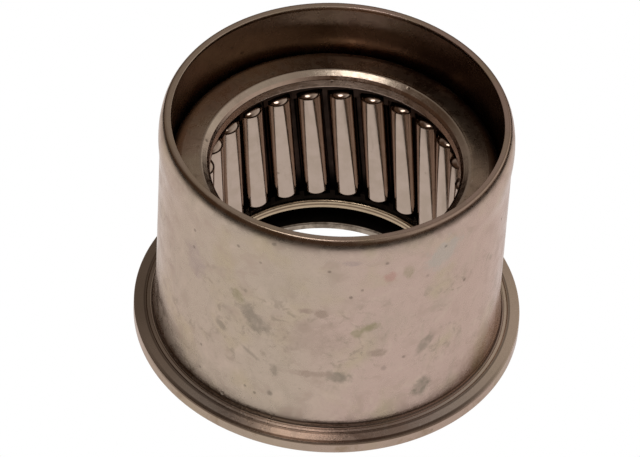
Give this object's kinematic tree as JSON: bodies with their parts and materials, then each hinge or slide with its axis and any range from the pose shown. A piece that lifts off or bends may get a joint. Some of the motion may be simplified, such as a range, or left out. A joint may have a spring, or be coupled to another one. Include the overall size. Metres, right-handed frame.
{
  "type": "needle roller bearing",
  "caption": "Caged needle roller bearing pressed into a flanged steel sleeve, with a deep seal recess above the cup and a washer closing the foot.",
  "frame": {"origin": "centre of the sleeve flange's underside, on the bearing axis", "axes": "+Z along the bearing axis, from the flange towards the open seal recess"},
  "size_m": [0.0572, 0.0572, 0.0394],
  "materials": {
    "sleeve_steel": "satin, oil-stained",
    "cup_steel": "satin",
    "washer_steel": "satin",
    "cage_steel": "black oxide",
    "needle_steel": "ground and polished"
  },
  "bodies": {
    "housing": {"outer_sleeve": "sleeve_steel", "bearing_cup": "cup_steel", "end_washer": "washer_steel"},
    "cage": {"cage": "cage_steel"},
    "needle_01": {"needle_01": "needle_steel"},
    "needle_02": {"needle_02": "needle_steel"},
    "needle_03": {"needle_03": "needle_steel"},
    "needle_04": {"needle_04": "needle_steel"},
    "needle_05": {"needle_05": "needle_steel"},
    "needle_06": {"needle_06": "needle_steel"},
    "needle_07": {"needle_07": "needle_steel"},
    "needle_08": {"needle_08": "needle_steel"},
    "needle_09": {"needle_09": "needle_steel"},
    "needle_10": {"needle_10": "needle_steel"},
    "needle_11": {"needle_11": "needle_steel"},
    "needle_12": {"needle_12": "needle_steel"},
    "needle_13": {"needle_13": "needle_steel"},
    "needle_14": {"needle_14": "needle_steel"},
    "needle_15": {"needle_15": "needle_steel"},
    "needle_16": {"needle_16": "needle_steel"},
    "needle_17": {"needle_17": "needle_steel"},
    "needle_18": {"needle_18": "needle_steel"},
    "needle_19": {"needle_19": "needle_steel"},
    "needle_20": {"needle_20": "needle_steel"},
    "needle_21": {"needle_21": "needle_steel"},
    "needle_22": {"needle_22": "needle_steel"},
    "needle_23": {"needle_23": "needle_steel"},
    "needle_24": {"needle_24": "needle_steel"},
    "needle_25": {"needle_25": "needle_steel"}
  },
  "joints": [
    {"name": "cage_spin", "type": "hinge", "parent": "housing", "child": "cage", "pos_m": [0, 0, 0.0173], "axis": [0, 0, 1], "continuous": true},
    {"name": "needle_01_spin", "type": "hinge", "parent": "cage", "child": "needle_01", "pos_m": [0.00125, 0.01938, 0.0173], "axis": [-0.1043, 0.0067, 0.9945], "continuous": true},
    {"name": "needle_02_spin", "type": "hinge", "parent": "cage", "child": "needle_02", "pos_m": [-0.00361, 0.01908, 0.0173], "axis": [-0.1027, -0.0194, 0.9945], "continuous": true},
    {"name": "needle_03_spin", "type": "hinge", "parent": "cage", "child": "needle_03", "pos_m": [-0.00824, 0.01759, 0.0173], "axis": [-0.0947, -0.0443, 0.9945], "continuous": true},
    {"name": "needle_04_spin", "type": "hinge", "parent": "cage", "child": "needle_04", "pos_m": [-0.01235, 0.01498, 0.0173], "axis": [-0.0807, -0.0665, 0.9945], "continuous": true},
    {"name": "needle_05_spin", "type": "hinge", "parent": "cage", "child": "needle_05", "pos_m": [-0.01569, 0.01144, 0.0173], "axis": [-0.0616, -0.0845, 0.9945], "continuous": true},
    {"name": "needle_06_spin", "type": "hinge", "parent": "cage", "child": "needle_06", "pos_m": [-0.01804, 0.00718, 0.0173], "axis": [-0.0386, -0.0971, 0.9945], "continuous": true},
    {"name": "needle_07_spin", "type": "hinge", "parent": "cage", "child": "needle_07", "pos_m": [-0.01926, 0.00247, 0.0173], "axis": [-0.0133, -0.1037, 0.9945], "continuous": true},
    {"name": "needle_08_spin", "type": "hinge", "parent": "cage", "child": "needle_08", "pos_m": [-0.01927, -0.0024, 0.0173], "axis": [0.0129, -0.1037, 0.9945], "continuous": true},
    {"name": "needle_09_spin", "type": "hinge", "parent": "cage", "child": "needle_09", "pos_m": [-0.01807, -0.00712, 0.0173], "axis": [0.0383, -0.0973, 0.9945], "continuous": true},
    {"name": "needle_10_spin", "type": "hinge", "parent": "cage", "child": "needle_10", "pos_m": [-0.01573, -0.01139, 0.0173], "axis": [0.0613, -0.0847, 0.9945], "continuous": true},
    {"name": "needle_11_spin", "type": "hinge", "parent": "cage", "child": "needle_11", "pos_m": [-0.0124, -0.01494, 0.0173], "axis": [0.0804, -0.0668, 0.9945], "continuous": true},
    {"name": "needle_12_spin", "type": "hinge", "parent": "cage", "child": "needle_12", "pos_m": [-0.0083, -0.01756, 0.0173], "axis": [0.0945, -0.0447, 0.9945], "continuous": true},
    {"name": "needle_13_spin", "type": "hinge", "parent": "cage", "child": "needle_13", "pos_m": [-0.00367, -0.01907, 0.0173], "axis": [0.1026, -0.0198, 0.9945], "continuous": true},
    {"name": "needle_14_spin", "type": "hinge", "parent": "cage", "child": "needle_14", "pos_m": [0.00119, -0.01938, 0.0173], "axis": [0.1043, 0.0064, 0.9945], "continuous": true},
    {"name": "needle_15_spin", "type": "hinge", "parent": "cage", "child": "needle_15", "pos_m": [0.00597, -0.01848, 0.0173], "axis": [0.0995, 0.0321, 0.9945], "continuous": true},
    {"name": "needle_16_spin", "type": "hinge", "parent": "cage", "child": "needle_16", "pos_m": [0.01038, -0.01641, 0.0173], "axis": [0.0884, 0.0559, 0.9945], "continuous": true},
    {"name": "needle_17_spin", "type": "hinge", "parent": "cage", "child": "needle_17", "pos_m": [0.01413, -0.01332, 0.0173], "axis": [0.0717, 0.0761, 0.9945], "continuous": true},
    {"name": "needle_18_spin", "type": "hinge", "parent": "cage", "child": "needle_18", "pos_m": [0.017, -0.00939, 0.0173], "axis": [0.0505, 0.0915, 0.9945], "continuous": true},
    {"name": "needle_19_spin", "type": "hinge", "parent": "cage", "child": "needle_19", "pos_m": [0.0188, -0.00486, 0.0173], "axis": [0.0262, 0.1012, 0.9945], "continuous": true},
    {"name": "needle_20_spin", "type": "hinge", "parent": "cage", "child": "needle_20", "pos_m": [0.01942, -0.00003, 0.0173], "axis": [0.0002, 0.1045, 0.9945], "continuous": true},
    {"name": "needle_21_spin", "type": "hinge", "parent": "cage", "child": "needle_21", "pos_m": [0.01882, 0.0048, 0.0173], "axis": [-0.0258, 0.1013, 0.9945], "continuous": true},
    {"name": "needle_22_spin", "type": "hinge", "parent": "cage", "child": "needle_22", "pos_m": [0.01703, 0.00933, 0.0173], "axis": [-0.0502, 0.0917, 0.9945], "continuous": true},
    {"name": "needle_23_spin", "type": "hinge", "parent": "cage", "child": "needle_23", "pos_m": [0.01418, 0.01327, 0.0173], "axis": [-0.0714, 0.0763, 0.9945], "continuous": true},
    {"name": "needle_24_spin", "type": "hinge", "parent": "cage", "child": "needle_24", "pos_m": [0.01043, 0.01638, 0.0173], "axis": [-0.0882, 0.0562, 0.9945], "continuous": true},
    {"name": "needle_25_spin", "type": "hinge", "parent": "cage", "child": "needle_25", "pos_m": [0.00603, 0.01846, 0.0173], "axis": [-0.0994, 0.0325, 0.9945], "continuous": true}
  ],
  "couplings": [
    {"joint": "needle_01_spin", "follows": "cage_spin", "ratio": -10.783},
    {"joint": "needle_02_spin", "follows": "cage_spin", "ratio": -10.783},
    {"joint": "needle_03_spin", "follows": "cage_spin", "ratio": -10.783},
    {"joint": "needle_04_spin", "follows": "cage_spin", "ratio": -10.783},
    {"joint": "needle_05_spin", "follows": "cage_spin", "ratio": -10.783},
    {"joint": "needle_06_spin", "follows": "cage_spin", "ratio": -10.783},
    {"joint": "needle_07_spin", "follows": "cage_spin", "ratio": -10.783},
    {"joint": "needle_08_spin", "follows": "cage_spin", "ratio": -10.783},
    {"joint": "needle_09_spin", "follows": "cage_spin", "ratio": -10.783},
    {"joint": "needle_10_spin", "follows": "cage_spin", "ratio": -10.783},
    {"joint": "needle_11_spin", "follows": "cage_spin", "ratio": -10.783},
    {"joint": "needle_12_spin", "follows": "cage_spin", "ratio": -10.783},
    {"joint": "needle_13_spin", "follows": "cage_spin", "ratio": -10.783},
    {"joint": "needle_14_spin", "follows": "cage_spin", "ratio": -10.783},
    {"joint": "needle_15_spin", "follows": "cage_spin", "ratio": -10.783},
    {"joint": "needle_16_spin", "follows": "cage_spin", "ratio": -10.783},
    {"joint": "needle_17_spin", "follows": "cage_spin", "ratio": -10.783},
    {"joint": "needle_18_spin", "follows": "cage_spin", "ratio": -10.783},
    {"joint": "needle_19_spin", "follows": "cage_spin", "ratio": -10.783},
    {"joint": "needle_20_spin", "follows": "cage_spin", "ratio": -10.783},
    {"joint": "needle_21_spin", "follows": "cage_spin", "ratio": -10.783},
    {"joint": "needle_22_spin", "follows": "cage_spin", "ratio": -10.783},
    {"joint": "needle_23_spin", "follows": "cage_spin", "ratio": -10.783},
    {"joint": "needle_24_spin", "follows": "cage_spin", "ratio": -10.783},
    {"joint": "needle_25_spin", "follows": "cage_spin", "ratio": -10.783}
  ]
}
